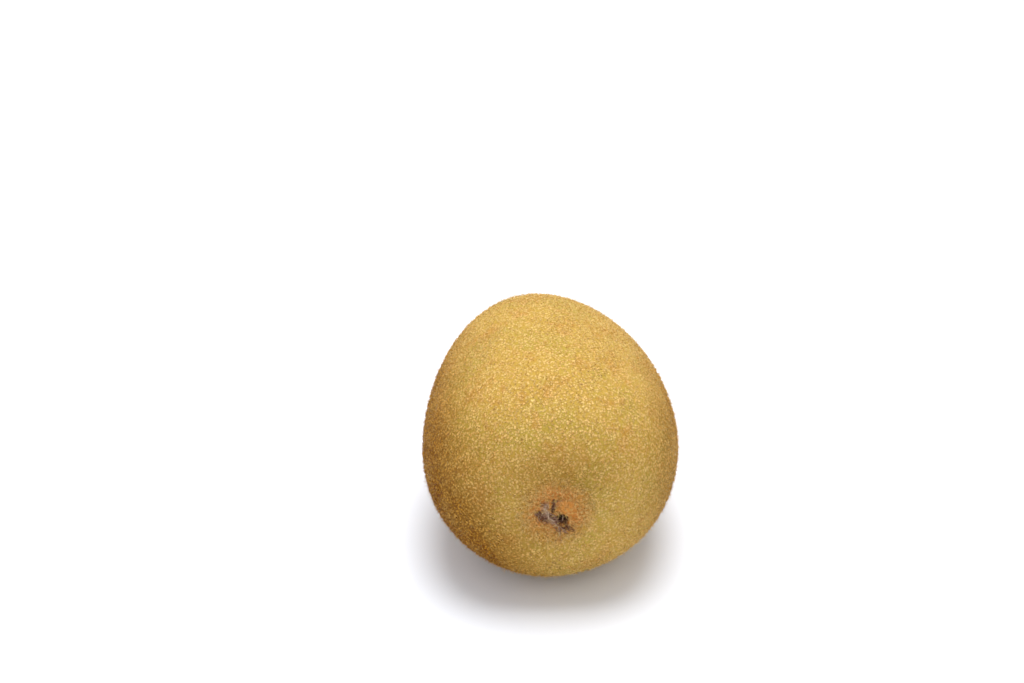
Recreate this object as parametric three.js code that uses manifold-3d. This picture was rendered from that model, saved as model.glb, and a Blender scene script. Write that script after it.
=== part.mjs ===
// Golden kiwi fruit, lying on its side on the small flat spot that its own weight gives it.
// Millimetres, +Z up. The long axis runs along Y: the blossom end is at -Y and the stem end at +Y.
// The origin is on the resting plane, under the middle of the whole fruit.

import * as THREE from 'three';
import { mergeVertices } from 'three/addons/utils/BufferGeometryUtils.js';
import Module from 'manifold-3d';

const wasm = await Module();
wasm.setup();

// Body of the fruit: a blunt, slightly tapered oval.
const body = {
  halfLength: 33.8,
  girthRadius: 26.8,
  taper: 0.08, // the stem end is this much narrower, and the blossom end this much fuller
  lengthPower: 2.2,
  girthPower: 3.4,
  flattening: 0.975, // height of the section over its width
  lean: 2.5, // degrees that the narrower stem end drops by when the fruit lies at rest
  restDepth: 0.4, // how much the skin gives where it rests
  reliefFrom: 0.5, // the marks of each end fade in between these shares of the half length
  reliefFull: 0.9,
  ringsPerHalf: 21,
  ringCrowding: 1.3, // above 1 the rings crowd towards the poles
  segments: 48,
};

// The surface that the fruit rests on, as a block large enough to cut the flat spot.
const ground = { size: 100, depth: 20 };

// Slow swellings of the section: lobes round it, their share of the radius, their turn and their twist.
const swellings = [
  { lobes: 2, share: 0.031, turn: 0.2, twist: 2.0 },
  { lobes: 3, share: 0.013, turn: 1.48, twist: -1.3 },
  { lobes: 5, share: 0.005, turn: 2.8, twist: 0 },
];

// Relief of the blossom end. Places are [x, z] across the end, and depths are inward.
const blossomEnd = {
  dish: { at: [-0.4, -0.2], radius: 5.6, depth: 1.0 },
  hole: { at: [1.1, -2.1], radius: 1.45, depth: 2.3 },
  mound: { at: [2.4, 0.6], radius: 1.9, depth: -0.8 },
};

// Relief of the stem end: the scar that the stalk left, a groove round it and a pore in it.
const stemEnd = {
  dish: { at: [0, 0], radius: 8.5, depth: 1.1 },
  scarRadius: 3.9,
  scarHeight: 0.7,
  scarEdge: 0.6,
  groove: { radius: 4.7, width: 0.6, depth: 0.5 },
  pore: { at: [-0.7, 0.6], radius: 0.9, depth: 0.9 },
};

// Dried flower styles: thin strands that leave the hole and lie over the end.
const styles = {
  clearance: 0.45, // between the skin and the under side of a strand
  sides: 6,
  steps: 9,
  plug: { radius: 0.6, innerShare: 0.6, reach: 1.1, lift: 0.1, sides: 8 },
  strands: [
    { via: [-1.6, -2.9], to: [-4.4, -1.1], thickness: 0.6 },
    { via: [-1.9, -0.9], to: [-2.4, 2.8], thickness: 0.45 },
    { via: [-0.9, -1.6], to: [-3.6, 0.4], thickness: 0.5 },
    { via: [-0.2, -3.7], to: [1.0, -5.0], thickness: 0.5 },
    { via: [1.3, -4.6], to: [0.6, -8.0], thickness: 0.4 },
    { via: [2.3, -3.2], to: [3.6, -3.4], thickness: 0.4 },
    { via: [0.1, -0.9], to: [-0.4, 1.0], thickness: 0.4 },
  ],
};

// Dried sepals: a ragged ring in the groove, with the five broken flaps that it still carries.
const sepals = {
  clearance: 0.5,
  thickness: 0.45,
  ringInner: 4.4,
  ringOuter: 5.2,
  ringSegments: 40,
  skinRadius: 6.2, // the skin that the clearance is measured from
  flapSegments: 5,
  // how a flap's edge bulges, as shares of its length and width
  flapShape: { firstBulge: [0.9, -0.42], tip: [1, 0.1], secondBulge: [0.8, 0.34] },
  flaps: [
    { turn: 8, length: 2.4, width: 3.6 },
    { turn: 83, length: 1.5, width: 3.0 },
    { turn: 151, length: 2.1, width: 3.9 },
    { turn: 222, length: 1.2, width: 2.6 },
    { turn: 300, length: 1.8, width: 3.4 },
  ],
};

const skinMaterial = new THREE.MeshStandardMaterial({ color: 0xab8a42, roughness: 0.82, metalness: 0 });
const stylesMaterial = new THREE.MeshStandardMaterial({ color: 0x5a4034, roughness: 0.9, metalness: 0 });
const sepalsMaterial = new THREE.MeshStandardMaterial({ color: 0x6e4c30, roughness: 0.9, metalness: 0 });

// A smooth step from 0 to 1 as the value passes from low to high.
function smoothStep(low, high, value) {
  return THREE.MathUtils.smoothstep(value, low, high);
}

// How strongly a round hollow or swelling acts at a place across the end, from 1 at its middle to 0.
function roundPatch(patch, x, z) {
  const distance = Math.hypot(x - patch.at[0], z - patch.at[1]) / patch.radius;
  return Math.exp(-distance * distance);
}

function patchDepth(patch, x, z) {
  return patch.depth * roundPatch(patch, x, z);
}

// Distance from the middle of the fruit to its unmarked end, at a place across that end. Side is -1 or 1.
function endReach(x, z, side) {
  const radius = Math.hypot(x, z / body.flattening) / (body.girthRadius * (1 - body.taper * side));
  const inside = Math.max(0, 1 - Math.pow(radius, body.girthPower));
  return body.halfLength * Math.pow(inside, 1 / body.lengthPower);
}

// Depth of the blossom end below its unmarked surface.
function blossomDepth(x, z) {
  const hole = roundPatch(blossomEnd.hole, x, z);
  const dish = patchDepth(blossomEnd.dish, x, z);
  const mound = patchDepth(blossomEnd.mound, x, z) * (1 - hole);
  return dish + mound + blossomEnd.hole.depth * hole * hole;
}

// Depth of the stem end below its unmarked surface.
function stemDepth(x, z) {
  const fromAxis = Math.hypot(x, z);
  const { scarRadius, scarHeight, scarEdge, groove, pore, dish } = stemEnd;
  const scar = scarHeight * (1 - smoothStep(scarRadius - scarEdge, scarRadius, fromAxis));
  const fromGroove = (fromAxis - groove.radius) / groove.width;
  const grooveDepth = groove.depth * Math.exp(-fromGroove * fromGroove);
  return patchDepth(dish, x, z) - scar + grooveDepth + patchDepth(pore, x, z);
}

// Half outline of the fruit, from the blossom pole to the stem pole, as radius and place on the axis.
function outline() {
  const points = [];
  for (let ring = -body.ringsPerHalf; ring <= body.ringsPerHalf; ring += 1) {
    const side = Math.sign(ring);
    const fromPole = 1 - Math.abs(ring) / body.ringsPerHalf;
    const spread = Math.pow(Math.sin((fromPole * Math.PI) / 2), body.ringCrowding);
    const along = side * Math.pow(1 - Math.pow(spread, body.girthPower), 1 / body.lengthPower);
    const radius = body.girthRadius * spread * (1 - body.taper * along);
    points.push(new THREE.Vector2(radius, body.halfLength * along));
  }
  return points;
}

// The section isn't quite round: the radius swells and shrinks slowly round it and along it.
function swelling(turn, along) {
  let factor = 1;
  for (const swell of swellings) {
    factor += swell.share * Math.cos(swell.lobes * turn + swell.turn + swell.twist * along);
  }
  return factor;
}

// A geometry's faces as a solid. Faces that the merging closed to a line are dropped.
function toSolid(geometry) {
  const bare = new THREE.BufferGeometry();
  bare.setAttribute('position', geometry.getAttribute('position').clone());
  if (geometry.index) {
    bare.setIndex(geometry.index.clone());
  }
  const merged = mergeVertices(bare);
  const corners = merged.index.array;
  const faces = [];
  for (let i = 0; i < corners.length; i += 3) {
    const [a, b, c] = [corners[i], corners[i + 1], corners[i + 2]];
    if (a !== b && b !== c && c !== a) {
      faces.push(a, b, c);
    }
  }
  const vertProperties = new Float32Array(merged.getAttribute('position').array);
  return new wasm.Manifold(new wasm.Mesh({ numProp: 3, vertProperties, triVerts: new Uint32Array(faces) }));
}

function toGeometry(solid) {
  const mesh = solid.getMesh();
  const geometry = new THREE.BufferGeometry();
  geometry.setAttribute('position', new THREE.BufferAttribute(new Float32Array(mesh.vertProperties), 3));
  geometry.setIndex(new THREE.BufferAttribute(new Uint32Array(mesh.triVerts), 1));
  return geometry;
}

// The whole fruit, still level on its own axis.
function levelFruit() {
  const geometry = new THREE.LatheGeometry(outline(), body.segments);
  const position = geometry.getAttribute('position');
  for (let i = 0; i < position.count; i += 1) {
    const along = position.getY(i) / body.halfLength;
    const factor = swelling(Math.atan2(position.getZ(i), position.getX(i)), along);
    const x = position.getX(i) * factor;
    const z = position.getZ(i) * factor * body.flattening;
    const depth = along < 0 ? blossomDepth(x, z) : -stemDepth(x, z);
    const share = smoothStep(body.reliefFrom, body.reliefFull, Math.abs(along));
    position.setXYZ(i, x, position.getY(i) + depth * share, z);
  }
  return geometry;
}

// One strand of the styles, from the mouth of the hole to its tip, at a steady height over the skin.
function strand({ via, to, thickness }) {
  const [startX, startZ] = blossomEnd.hole.at;
  const flat = new THREE.QuadraticBezierCurve(
    new THREE.Vector2(startX, startZ),
    new THREE.Vector2(...via),
    new THREE.Vector2(...to),
  );
  const points = flat.getPoints(styles.steps).map(({ x, y: z }) => {
    const skin = -endReach(x, z, -1) + patchDepth(blossomEnd.dish, x, z);
    const raised = Math.min(0, patchDepth(blossomEnd.mound, x, z));
    return new THREE.Vector3(x, skin + raised - styles.clearance - thickness / 2, z);
  });
  const section = new THREE.Shape(
    Array.from({ length: styles.sides }, (_, corner) => {
      const turn = (corner / styles.sides) * 2 * Math.PI;
      return new THREE.Vector2((Math.cos(turn) * thickness) / 2, (Math.sin(turn) * thickness) / 2);
    }),
  );
  const path = new THREE.CatmullRomCurve3(points);
  return new THREE.ExtrudeGeometry(section, { steps: styles.steps, bevelEnabled: false, extrudePath: path });
}

// The strands and the plug that holds them together in the hole, joined into one body.
function stylesSolid() {
  const [x, z] = blossomEnd.hole.at;
  const { radius, innerShare, reach, lift, sides } = styles.plug;
  const plug = new THREE.CylinderGeometry(radius, radius * innerShare, 2 * reach, sides);
  plug.rotateX(Math.PI);
  plug.translate(x, -endReach(x, z, -1) + lift, z);
  let solid = toSolid(plug);
  for (const line of styles.strands) {
    solid = solid.add(toSolid(strand(line)));
  }
  return solid;
}

// One broken flap, drawn lying outward from the ring and then turned to its place.
function flap({ turn, length, width }, height) {
  const shape = new THREE.Shape();
  const root = (sepals.ringInner + sepals.ringOuter) / 2;
  const place = ([outward, across]) => [root + length * outward, width * across];
  const { firstBulge, tip, secondBulge } = sepals.flapShape;
  shape.moveTo(root, -width / 2);
  shape.quadraticCurveTo(...place(firstBulge), ...place(tip));
  shape.quadraticCurveTo(...place(secondBulge), root, width / 2);
  shape.closePath();
  const options = { depth: sepals.thickness, bevelEnabled: false, curveSegments: sepals.flapSegments };
  const geometry = new THREE.ExtrudeGeometry(shape, options);
  geometry.rotateX(-Math.PI / 2);
  geometry.rotateY(THREE.MathUtils.degToRad(turn));
  geometry.translate(0, height, 0);
  return geometry;
}

// The ring and its flaps, joined into one body that stands just off the skin.
function sepalsSolid() {
  const { ringInner, ringOuter, thickness, ringSegments } = sepals;
  const height = endReach(ringInner, 0, 1) - stemDepth(sepals.skinRadius, 0) + sepals.clearance;
  const corners = [
    [ringInner, height],
    [ringOuter, height],
    [ringOuter, height + thickness],
    [ringInner, height + thickness],
    [ringInner, height],
  ];
  const ring = new THREE.LatheGeometry(corners.map(([x, y]) => new THREE.Vector2(x, y)), ringSegments);
  let solid = toSolid(ring);
  for (const piece of sepals.flaps) {
    solid = solid.add(toSolid(flap(piece, height)));
  }
  return solid;
}

// Lay the pieces down as the fruit rests, give the fruit its flat spot and bring the origin under its middle.
const lean = THREE.MathUtils.degToRad(-body.lean);
const skinGeometry = levelFruit().rotateX(lean);
const stylesGeometry = toGeometry(stylesSolid()).rotateX(lean);
const sepalsGeometry = toGeometry(sepalsSolid()).rotateX(lean);

skinGeometry.computeBoundingBox();
const restPlane = skinGeometry.boundingBox.min.z + body.restDepth;
const groundGeometry = new THREE.BoxGeometry(ground.size, ground.size, ground.depth);
groundGeometry.translate(0, 0, restPlane - ground.depth / 2);
const fruitGeometry = toGeometry(toSolid(skinGeometry).subtract(toSolid(groundGeometry)));

const whole = new THREE.Box3();
for (const geometry of [fruitGeometry, stylesGeometry, sepalsGeometry]) {
  geometry.computeBoundingBox();
  whole.union(geometry.boundingBox);
}
const middle = whole.getCenter(new THREE.Vector3());

function piece(name, geometry, material) {
  geometry.translate(-middle.x, -middle.y, -restPlane);
  const mesh = new THREE.Mesh(geometry, material);
  mesh.name = name;
  return mesh;
}

const kiwi = new THREE.Group();
kiwi.add(piece('fruit', fruitGeometry, skinMaterial));
kiwi.add(piece('dried_styles', stylesGeometry, stylesMaterial));
kiwi.add(piece('dried_sepals', sepalsGeometry, sepalsMaterial));

export default kiwi;
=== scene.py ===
import math

import bpy
import numpy as np
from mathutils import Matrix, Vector, noise


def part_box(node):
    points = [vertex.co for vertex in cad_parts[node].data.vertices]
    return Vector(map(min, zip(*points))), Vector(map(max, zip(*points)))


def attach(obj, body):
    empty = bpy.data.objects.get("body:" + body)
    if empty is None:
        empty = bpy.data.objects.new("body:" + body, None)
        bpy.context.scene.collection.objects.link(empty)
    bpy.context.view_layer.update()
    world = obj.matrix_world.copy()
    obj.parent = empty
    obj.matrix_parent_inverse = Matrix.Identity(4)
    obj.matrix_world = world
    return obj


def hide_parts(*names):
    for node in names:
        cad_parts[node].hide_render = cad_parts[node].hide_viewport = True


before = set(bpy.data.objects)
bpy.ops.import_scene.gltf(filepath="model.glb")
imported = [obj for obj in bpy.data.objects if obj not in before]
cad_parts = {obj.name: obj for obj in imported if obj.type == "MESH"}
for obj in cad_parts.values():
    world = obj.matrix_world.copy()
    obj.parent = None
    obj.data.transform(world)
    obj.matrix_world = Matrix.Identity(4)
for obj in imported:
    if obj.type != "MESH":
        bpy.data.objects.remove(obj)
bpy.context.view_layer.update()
mm = 0.001
lowest = 0.01  # how close to the floor anything comes, mm


def smoothStep(low, high, value):
    share = np.clip((value - low) / (high - low), 0, 1)
    return share * share * (3 - 2 * share)


# full height on the line between two places, fading away over the width
def nearLine(x, z, start, end, width, height=1.0):
    ax, az = start
    bx, bz = end[0] - ax, end[1] - az
    share = np.clip(((x - ax) * bx + (z - az) * bz) / (bx * bx + bz * bz), 0, 1)
    away = np.hypot(x - ax - share * bx, z - az - share * bz)
    return height * np.exp(-(away / width) ** 2)


def nearRing(distance, radius, width, height):
    return height * np.exp(-((distance - radius) / width) ** 2)


def roundPatch(x, z, at, radius, height=1.0):
    return height * np.exp(-((x - at[0]) ** 2 + (z - at[1]) ** 2) / radius ** 2)


# waves along a: how many, how far they bend and how often they bend along b
def bentWaves(a, b, count, bend, bends):
    return count * a + bend * np.sin(bends * b)


# soft noise at points in millimetres, about -1 to 1, with features of the given size
def softNoise(points, size, seed=0, octaves=2):
    shift = Vector((seed * 13.7, seed * 5.3, seed * 9.1))
    return np.array([noise.fractal(Vector(p) / size + shift, 1.0, 2.0, octaves) for p in points])


def unit(vectors):
    return vectors / np.maximum(np.linalg.norm(vectors, axis=-1, keepdims=True), 1e-9)


def addObject(name, data):
    item = bpy.data.objects.new(name, data)
    bpy.context.collection.objects.link(item)
    return item


def setValues(items, key, values, kind=np.float32):
    items.foreach_set(key, np.asarray(values, dtype=kind).ravel())


# a mesh from points (metres), the corners of its faces one after another, and each face's corner count
def makeMesh(name, points, corners, counts, cornerMap=None):
    mesh = bpy.data.meshes.new(name)
    mesh.vertices.add(len(points))
    mesh.loops.add(len(corners))
    mesh.polygons.add(len(counts))
    setValues(mesh.vertices, "co", points)
    setValues(mesh.loops, "vertex_index", corners, np.int32)
    setValues(mesh.polygons, "loop_start", np.cumsum(counts) - counts, np.int32)
    setValues(mesh.polygons, "loop_total", counts, np.int32)
    setValues(mesh.polygons, "use_smooth", [True] * len(counts), bool)
    mesh.update(calc_edges=True)
    if cornerMap is not None:
        setValues(mesh.uv_layers.new(name="OFBake").data, "uv", cornerMap)
    mesh.validate()
    return addObject(name, mesh)


# four-cornered faces between rings of points, each ring running round its sides
def ringFaces(rings, sides, isRound=False):
    ring, side = np.meshgrid(np.arange(rings if isRound else rings - 1), np.arange(sides), indexing="ij")
    here, onward = ring * sides, (ring + 1) % rings * sides
    after = (side + 1) % sides
    return np.stack([onward + side, onward + after, here + after, here + side], -1).reshape(-1, 4)


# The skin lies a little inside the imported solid, whose surface is where most hair tips reach.
body = {
    "halfLength": 33.6,
    "girthRadius": 26.6,
    "taper": 0.08,  # stem end narrower, blossom end fuller
    "lengthPower": 2.2,
    "girthPower": 3.4,
    "polePower": 1.3,  # how closely the rings gather at the poles
    "flattening": 0.975,
    "lean": 2.5,  # degrees
    "restDepth": 0.4,
    "restSoftness": 0.12,  # how softly the skin turns into the flat spot
    "reliefFade": (0.5, 0.9),  # where an end's own relief starts and is full, as a share of the half length
    "swellings": ((2, 0.031, 0.2, 2.0), (3, 0.013, 1.48, -1.3), (5, 0.005, 2.8, 0.0)),
    "outlineTurn": 0.6,  # turn at which the outline is measured
}

blossomEnd = {
    # middle, radius, then depth or height
    "dish": ((-0.4, -0.2), 5.6, 1.0),
    "hole": ((1.2, -2.5), 1.35, 2.6),
    "mound": ((2.4, 0.6), 1.9, 0.8),
    # start, end, width, then depth or height
    "lip": ((3.1, -2.6), (2.4, -3.9), 0.55, 0.3),
    "trough": ((0.6, -2.9), (-3.9, -1.1), 1.0, 0.55),
    "crease": ((-0.6, 2.2), (-0.9, -0.4), 0.34, 0.45),
    "mouthEdge": (0.3, 0.75),  # how abruptly the hole starts
    # wrinkles that run into the hole: their distance from it, width and height, then their waves
    "puckers": (3.0, 1.6, 0.1),
    "puckerWaves": (17, 2, 3),
    "blushAt": (0.1, -0.4),
}

stemEnd = {
    "dish": ((0.0, 0.0), 8.5, 1.1),
    "pore": ((-0.7, 0.6), 0.75, 1.2),
    "scarRadius": 3.8,
    "scarEdge": ((2, 0.22, 0.4), (3, 0.20, 1.0), (7, 0.12, 2.0), (13, 0.06, 0.5)),
    "scarSlope": 0.6,
    "scarHeight": 0.7,
    # radius, width, then depth or height
    "groove": (4.7, 0.6, 0.5),
    "innerRing": (1.9, 0.35, 0.12),
    "cracks": (5.8, 1.2, 0.12),
    "crackWaves": (11, 3, 2),
    "crumple": 0.10,
    "crumpleWaves": ((2.9, 1.7, 2.3), (3.1, 1.3, 2.7)),
    "crumpleEdge": (4.2, 3.2),
}

skinGrain = {
    "swell": (9.0, 0.10),  # size and height of the slow unevenness
    "dimple": (1.6, 0.035),  # size and height of the fine one
}


def swelling(turn, along):
    factor = 1.0
    for lobes, share, start, twist in body["swellings"]:
        factor = factor + share * np.cos(lobes * turn + start + twist * along)
    return factor


# how far each end goes in from its plain rounded surface, across places x, z on that end
def blossomDepth(x, z):
    at, radius, depth = blossomEnd["hole"]
    mouth = smoothStep(*blossomEnd["mouthEdge"], roundPatch(x, z, at, radius))
    angle = np.arctan2(z - at[1], x - at[0])
    puckers = nearRing(np.hypot(x - at[0], z - at[1]), *blossomEnd["puckers"])
    puckers = puckers * np.cos(bentWaves(angle, angle, *blossomEnd["puckerWaves"]))
    hollows = np.maximum(nearLine(x, z, *blossomEnd["trough"]), nearLine(x, z, *blossomEnd["crease"]))
    bumps = roundPatch(x, z, *blossomEnd["mound"]) + nearLine(x, z, *blossomEnd["lip"])
    dish = roundPatch(x, z, *blossomEnd["dish"])
    return dish + (hollows - bumps) * (1 - mouth) - puckers + depth * mouth


def stemDepth(x, z):
    fromAxis = np.hypot(x, z)
    angle = np.arctan2(z, x)
    edge = stemEnd["scarRadius"]
    for waves, height, start in stemEnd["scarEdge"]:
        edge = edge + height * np.sin(waves * angle + start)
    scar = stemEnd["scarHeight"] * (1 - smoothStep(edge - stemEnd["scarSlope"], edge, fromAxis))
    hollows = roundPatch(x, z, *stemEnd["dish"]) + roundPatch(x, z, *stemEnd["pore"])
    hollows = hollows + nearRing(fromAxis, *stemEnd["groove"])
    ring = nearRing(fromAxis, *stemEnd["innerRing"])
    cracks = nearRing(fromAxis, *stemEnd["cracks"]) * np.cos(bentWaves(angle, angle, *stemEnd["crackWaves"]))
    sideways, upwards = stemEnd["crumpleWaves"]
    crumple = np.sin(bentWaves(x, z, *sideways)) * np.sin(bentWaves(z, x, *upwards))
    crumple = stemEnd["crumple"] * crumple * smoothStep(*stemEnd["crumpleEdge"], fromAxis)
    return hollows - scar - ring + cracks + crumple


# place on the level fruit for a turn round the axis and a travel from -1 (blossom pole) to 1 (stem pole)
def levelPoint(turn, travel, relief=True):
    spread = np.sin((1 - np.abs(travel)) * math.pi / 2) ** body["polePower"]
    along = (1 - np.minimum(spread, 1) ** body["girthPower"]) ** (1 / body["lengthPower"])
    along = np.sign(travel) * along
    radius = body["girthRadius"] * spread * (1 - body["taper"] * along) * swelling(turn, along)
    x, z = radius * np.cos(turn), radius * np.sin(turn) * body["flattening"]
    y = body["halfLength"] * along
    if relief:
        inward = np.where(along < 0, blossomDepth(x, z), -stemDepth(x, z))
        y = y + inward * smoothStep(*body["reliefFade"], np.abs(along))
    return np.stack([x, y, z], -1)


def lean(points):
    angle = math.radians(-body["lean"])
    x, y, z = points[..., 0], points[..., 1], points[..., 2]
    leantY = y * math.cos(angle) - z * math.sin(angle)
    leantZ = y * math.sin(angle) + z * math.cos(angle)
    return np.stack([x, leantY, leantZ], -1)


# where the leaning fruit stands in the row's frame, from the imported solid's own box
fruitLow, fruitHigh = (np.array(corner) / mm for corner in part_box("fruit"))
roughTurn, roughTravel = np.meshgrid(np.linspace(0, 2 * math.pi, 181), np.linspace(-1, 1, 201))
rough = lean(levelPoint(roughTurn, roughTravel)).reshape(-1, 3)
standing = (fruitLow + fruitHigh) / 2 - (rough.min(0) + rough.max(0)) / 2
standing[2] = -rough[:, 2].min() - body["restDepth"]


# the skin in the row's frame, in millimetres, softly flattened where it rests
def settle(points):
    placed = lean(points) + standing
    height, soft = placed[..., 2], body["restSoftness"]
    placed[..., 2] = (height + np.sqrt(height ** 2 + soft ** 2)) / 2
    return placed


def skinPoint(turn, travel):
    return settle(levelPoint(turn, travel))


def skinNormal(turn, travel):
    step = 1e-4
    travel = np.clip(travel, -1 + 2 * step, 1 - 2 * step)
    aroundWay = skinPoint(turn + step, travel) - skinPoint(turn - step, travel)
    onward = skinPoint(turn, travel + step) - skinPoint(turn, travel - step)
    return unit(np.cross(onward, aroundWay))


# place across an end, x and z of the level fruit, and which end it is
def acrossEnd(turn, travel):
    points = levelPoint(turn, travel, relief=False)
    return points[..., 0], points[..., 2], np.sign(travel)


# travels from pole to pole, their distances from the axis and the steps between them
def outline(samples):
    travel = np.linspace(-1, 1, samples)
    points = levelPoint(np.full_like(travel, body["outlineTurn"]), travel, relief=False)
    return travel, np.hypot(points[:, 0], points[:, 2]), np.linalg.norm(np.diff(points, axis=0), axis=1)


shading = {
    "far": 60.0,  # distance given to everything on the other end
    "hole": (0.25, 0.7),  # where the painted shade in the hole starts and is full
    "pore": (0.35, 0.8, 0.95),  # the same for the painted shade in the pore, and how dark it gets
    # the trough's dark: partly the matted fibres' own colour, partly painted shade
    "trough": 0.75,
    "crease": (1.7, 0.62),  # width of the crease's painted shade over the real crease's, and how dark it gets
    "mound": (0.25, 0.8, 1.15),
    # browner skin in mm of the row's frame, partly the skin's own browner colour and partly painted shade:
    # fades from none to full, then how much darker and browner
    "left": ((9, 26), (54, 30), 0.9),  # leftwards, downwards
    "right": ((16, 27), 0.6),  # rightwards
    "low": ((33, 9), (-5, 18), 0.12, 0.9),  # downwards, leftwards, share everywhere: painted shade on the underside, partly the skin's own browner colour
    "shadeOverPit": ((-1, 34.5), (12, 5.5), (-20, -28), 0.4),  # middle, half sizes, forwards: painted shade on the end face over the pit
}


def endDistances(turn, travel):
    x, z, side = acrossEnd(turn, travel)
    blushX, blushZ = blossomEnd["blushAt"]
    blossom = np.where(side < 0, np.hypot(x - blushX, z - blushZ), shading["far"])
    stem = np.where(side >= 0, np.hypot(x, z), shading["far"])
    return blossom, stem


# painted shade in the hole, the pore and the crease, and the trough's dark, partly the matted fibres' own
# colour and partly painted shade
def pitShade(turn, travel):
    x, z, side = acrossEnd(turn, travel)
    hole = smoothStep(*shading["hole"], roundPatch(x, z, *blossomEnd["hole"][:2]))
    trough = nearLine(x, z, *blossomEnd["trough"][:3], shading["trough"])
    start, end, width = blossomEnd["crease"][:3]
    wider, creaseDark = shading["crease"]
    crease = nearLine(x, z, start, end, width * wider, creaseDark)
    low, high, poreDark = shading["pore"]
    pore = poreDark * smoothStep(low, high, roundPatch(x, z, *stemEnd["pore"][:2]))
    return np.where(side < 0, np.maximum(np.maximum(trough, crease), hole), pore)


def moundTint(turn, travel):
    x, z, side = acrossEnd(turn, travel)
    at, radius, _ = blossomEnd["mound"]
    low, high, wider = shading["mound"]
    return np.where(side < 0, smoothStep(low, high, roundPatch(x, z, at, radius * wider)), 0)


# browner skin on the flanks, low down and over the pit, most on the left: partly the skin's own browner
# colour, partly painted shade
def russetAndShade(points):
    x, y, z = points[..., 0], points[..., 1], points[..., 2]
    leftward, downward, leftBrownAndShade = shading["left"]
    left = smoothStep(*leftward, -x) * smoothStep(*downward, z)
    rightward, rightBrownAndShade = shading["right"]
    right = smoothStep(*rightward, x)
    downward, leftward, everywhere, lowBrownAndShade = shading["low"]
    low = smoothStep(*downward, z) * (everywhere + smoothStep(*leftward, -x))
    (middleX, middleZ), (sizeX, sizeZ), forward, shadeOverPitShare = shading["shadeOverPit"]
    shadeOverPit = np.exp(-((x - middleX) / sizeX) ** 2 - ((z - middleZ) / sizeZ) ** 2) * smoothStep(*forward, y)
    return np.clip(leftBrownAndShade * left + rightBrownAndShade * right + lowBrownAndShade * low + shadeOverPitShare * shadeOverPit, 0, 1)


fruit = {
    "segments": 424,
    "endSpacing": 0.17,  # between rings near the poles
    "bodySpacing": 0.62,
    "spacingFade": (5.0, 15.0),
    "samples": 4001,
    "capRadius": 14.0,  # each end has a round colour map of its own, out to here
    "capAcross": (0.25, 0.75),
    "capSize": 0.235,
    "mapEdge": 0.01,
    "bandTop": 0.5,  # the flank takes the map below this height, opened along the underside
}


def ringTravels():
    travel, _, step = outline(fruit["samples"])
    arc = np.concatenate(([0], np.cumsum(step)))
    blend = smoothStep(*fruit["spacingFade"], np.minimum(arc, arc[-1] - arc))
    spacing = fruit["endSpacing"] + (fruit["bodySpacing"] - fruit["endSpacing"]) * blend
    count = np.concatenate(([0], np.cumsum(step / spacing[1:])))
    wanted = np.linspace(0, count[-1], int(count[-1]) + 1)[1:-1]
    return np.interp(wanted, count, travel), np.interp(wanted, count, arc), arc[-1]


# the colour map's place for a turn and an arc from the blossom pole: side -1 blossom end, 0 flank, 1 stem end
def mapPlace(turn, arc, whole, side):
    edge, top, reach = fruit["mapEdge"], fruit["bandTop"], fruit["capRadius"]
    share = (turn + math.pi / 2) / (2 * math.pi)
    bandU = edge + (1 - 2 * edge) * share
    bandV = edge + (top - 2 * edge) * (1 - (arc - reach) / (whole - 2 * reach))
    radius = fruit["capSize"] * np.minimum(arc, whole - arc) / reach
    blossomU, stemU = fruit["capAcross"]
    capU = np.where(side < 0, blossomU + radius * np.cos(turn), stemU - radius * np.cos(turn))
    capV = (1 + top) / 2 + radius * np.sin(turn)
    return np.where(side == 0, bandU, capU), np.where(side == 0, bandV, capV)


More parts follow.
